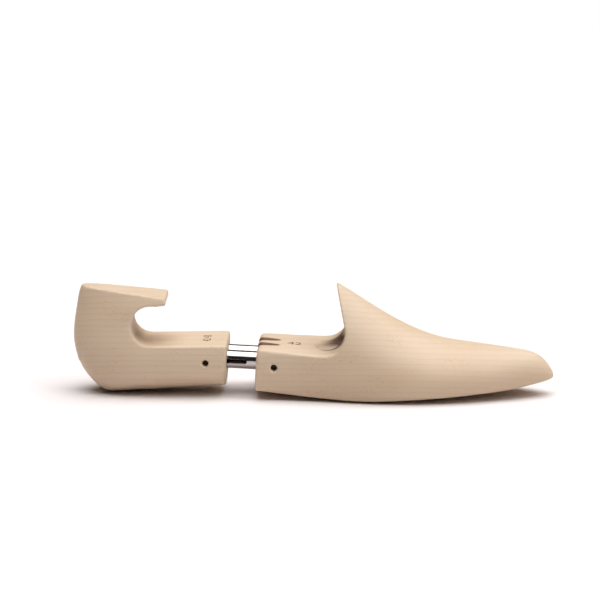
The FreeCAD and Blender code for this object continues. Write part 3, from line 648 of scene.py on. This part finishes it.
def area_light(name, place, aim, size, power):
    """A rectangular soft light that faces a point."""
    data = bpy.data.lights.new(name, "AREA")
    data.shape = "RECTANGLE"
    data.size, data.size_y = size
    data.energy = power
    lamp = bpy.data.objects.new(name, data)
    lamp.location = place
    lamp.rotation_euler = (Vector(aim) - Vector(place)).to_track_quat("-Z", "Y").to_euler()
    bpy.context.scene.collection.objects.link(lamp)


def softbox_sky(stage):
    """A dark room under one large soft light, which fades out about 37 degrees from its middle."""
    world = bpy.data.worlds.new("studio")
    world.use_nodes = True
    tree = world.node_tree
    background = tree.nodes["Background"]
    background.inputs["Color"].default_value = (1, 1, 1, 1)
    way = tree.nodes.new("ShaderNodeTexCoord").outputs["Generated"]
    height = tree.nodes.new("ShaderNodeVectorMath")
    height.operation = "DOT_PRODUCT"
    height.inputs[1].default_value = Vector(stage.softbox_aim).normalized()
    tree.links.new(way, height.inputs[0])
    edge = tree.nodes.new("ShaderNodeMapRange")
    ends = {
        "From Min": SOFTBOX_RIM, "From Max": SOFTBOX_CORE,
        "To Min": stage.gloom, "To Max": stage.softbox,
    }
    for name, value in ends.items():
        edge.inputs[name].default_value = value
    tree.links.new(height.outputs["Value"], edge.inputs["Value"])
    tree.links.new(edge.outputs["Result"], background.inputs["Strength"])
    return world


class SHOETREE_OT_stage(bpy.types.Operator):
    """Set the floor, the soft lights and the camera"""
    bl_idname = "shoetree.stage"
    bl_label = "Stage"

    def execute(self, context):
        stage = context.scene.shoe_tree_stage
        scene = context.scene
        mesh = bpy.data.meshes.new("floor")
        reach = FLOOR_REACH
        corners = [(-reach, -reach, 0), (reach, -reach, 0), (reach, reach, 0), (-reach, reach, 0)]
        mesh.from_pydata(corners, [], [(0, 1, 2, 3)])
        floor = bpy.data.objects.new("floor", mesh)
        scene.collection.objects.link(floor)
        paint = Nodes("studio_floor")
        paint.finish(Base_Color=opaque(stage.floor), Roughness=0.6, Specular_IOR_Level=0.3)
        mesh.materials.append(paint.material)
        area_light("toe_fill", (2.4, -1.3, 2.0), (0, 0, 0.03), (1.4, 1.0), stage.fill)
        scene.world = softbox_sky(stage)
        scene.view_settings.view_transform = "Standard"
        self.aim_camera(scene, stage)
        return {"FINISHED"}

    def aim_camera(self, scene, stage):
        """A long lens that looks down at the near side, turned slightly towards the toe."""
        turn, rise = stage.azimuth, stage.elevation
        back = Vector((math.sin(turn) * math.cos(rise), -math.cos(turn) * math.cos(rise), math.sin(rise)))
        right = Vector((math.cos(turn), math.sin(turn), 0))
        up = back.cross(right)
        aim = right * AIM_RIGHT + up * AIM_UP
        data = bpy.data.cameras.new("camera")
        data.lens = stage.lens
        data.sensor_width = SENSOR_WIDTH
        camera = bpy.data.objects.new("camera", data)
        basis = Matrix((right, up, back)).transposed().to_4x4()
        camera.matrix_world = Matrix.Translation(aim + back * stage.distance) @ basis
        scene.collection.objects.link(camera)
        scene.camera = camera


class SHOETREE_PT_panel(bpy.types.Panel):
    """Lists the settings and the steps in the sidebar"""
    bl_label = "Shoe Tree"
    bl_idname = "SHOETREE_PT_panel"
    bl_space_type = "VIEW_3D"
    bl_region_type = "UI"
    bl_category = "Shoe Tree"

    def draw(self, context):
        for group in (context.scene.shoe_tree_finish, context.scene.shoe_tree_stage):
            for name in group.bl_rna.properties.keys():
                if name not in ("rna_type", "name"):
                    self.layout.prop(group, name)
        for stage_of_work in STEPS:
            self.layout.operator(stage_of_work.bl_idname)


STEPS = (SHOETREE_OT_stage, SHOETREE_OT_blocks, SHOETREE_OT_numbers, SHOETREE_OT_hardware)
CLASSES = (ShoeTreeFinish, ShoeTreeStage, *STEPS, SHOETREE_PT_panel)


def register():
    """Register every class and hang the settings on the scene."""
    for item in CLASSES:
        bpy.utils.register_class(item)
    bpy.types.Scene.shoe_tree_finish = bpy.props.PointerProperty(type=ShoeTreeFinish)
    bpy.types.Scene.shoe_tree_stage = bpy.props.PointerProperty(type=ShoeTreeStage)


def unregister():
    """Undo register."""
    del bpy.types.Scene.shoe_tree_stage
    del bpy.types.Scene.shoe_tree_finish
    for item in reversed(CLASSES):
        bpy.utils.unregister_class(item)


def main():
    """Run every step in order."""
    register()
    for stage_of_work in STEPS:
        group, name = stage_of_work.bl_idname.split(".")
        getattr(getattr(bpy.ops, group), name)()


if __name__ == "__main__":
    main()
